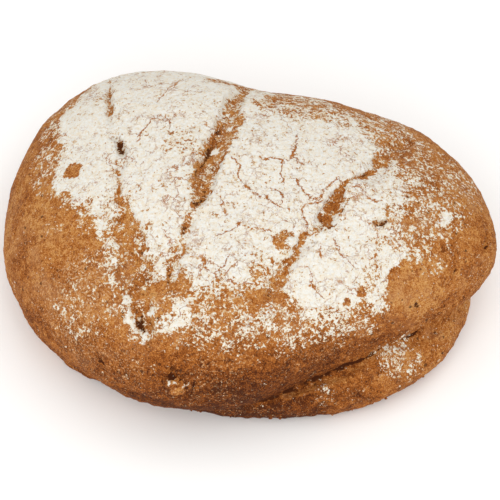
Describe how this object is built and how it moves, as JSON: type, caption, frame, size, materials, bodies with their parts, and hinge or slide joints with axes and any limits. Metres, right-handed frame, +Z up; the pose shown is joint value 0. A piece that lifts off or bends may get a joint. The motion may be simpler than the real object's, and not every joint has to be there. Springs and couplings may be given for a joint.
{
  "type": "bread loaf",
  "caption": "Hand-shaped oval walnut bread loaf with slashes across a floured crown, a burst side with a lower lobe of dough, and a flat base to rest on",
  "frame": {"origin": "middle of the loaf's bounding box, on the plane of its flat base", "axes": "+X along the loaf towards its narrow end, +Z up through the crown, -Y towards the burst side's front"},
  "size_m": [0.2262, 0.1806, 0.0825],
  "materials": {
    "crust": null
  },
  "bodies": {
    "root": {"loaf": "crust"}
  },
  "joints": []
}
